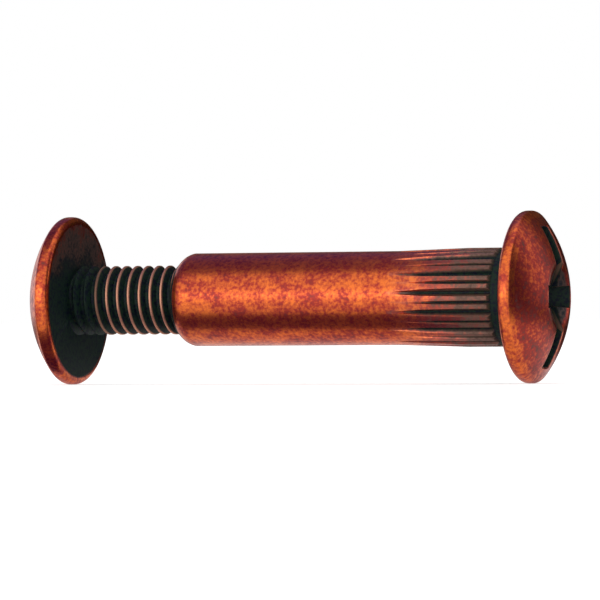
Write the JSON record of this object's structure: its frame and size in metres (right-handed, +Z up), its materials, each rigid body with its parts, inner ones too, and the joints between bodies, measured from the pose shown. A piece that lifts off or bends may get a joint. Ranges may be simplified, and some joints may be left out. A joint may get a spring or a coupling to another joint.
{
  "type": "binding barrel screw",
  "caption": "Domed-head barrel nut with a ribbed grip zone and a matching male screw that threads into it, clamping panels between the two heads.",
  "frame": {"origin": "centre of the flat bearing face under the barrel nut's head", "axes": "+X along the common axis, out through the barrel nut's crown; +Z up, along the straight slot, with the pair lying on the rims of its two heads"},
  "size_m": [0.0466, 0.0144, 0.0144],
  "materials": {
    "nut_copper": "steel plated in antique copper, mottled and darkened in its hollows",
    "screw_copper": "steel plated in antique copper, nearly black on the thread and under the head"
  },
  "bodies": {
    "barrel": {"barrel_nut": "nut_copper"},
    "screw": {"male_screw": "screw_copper"}
  },
  "joints": [
    {"name": "screw_travel", "type": "slide", "parent": "barrel", "child": "screw", "axis": [-1, 0, 0], "range_m": [-0.0097, 0.012]}
  ]
}
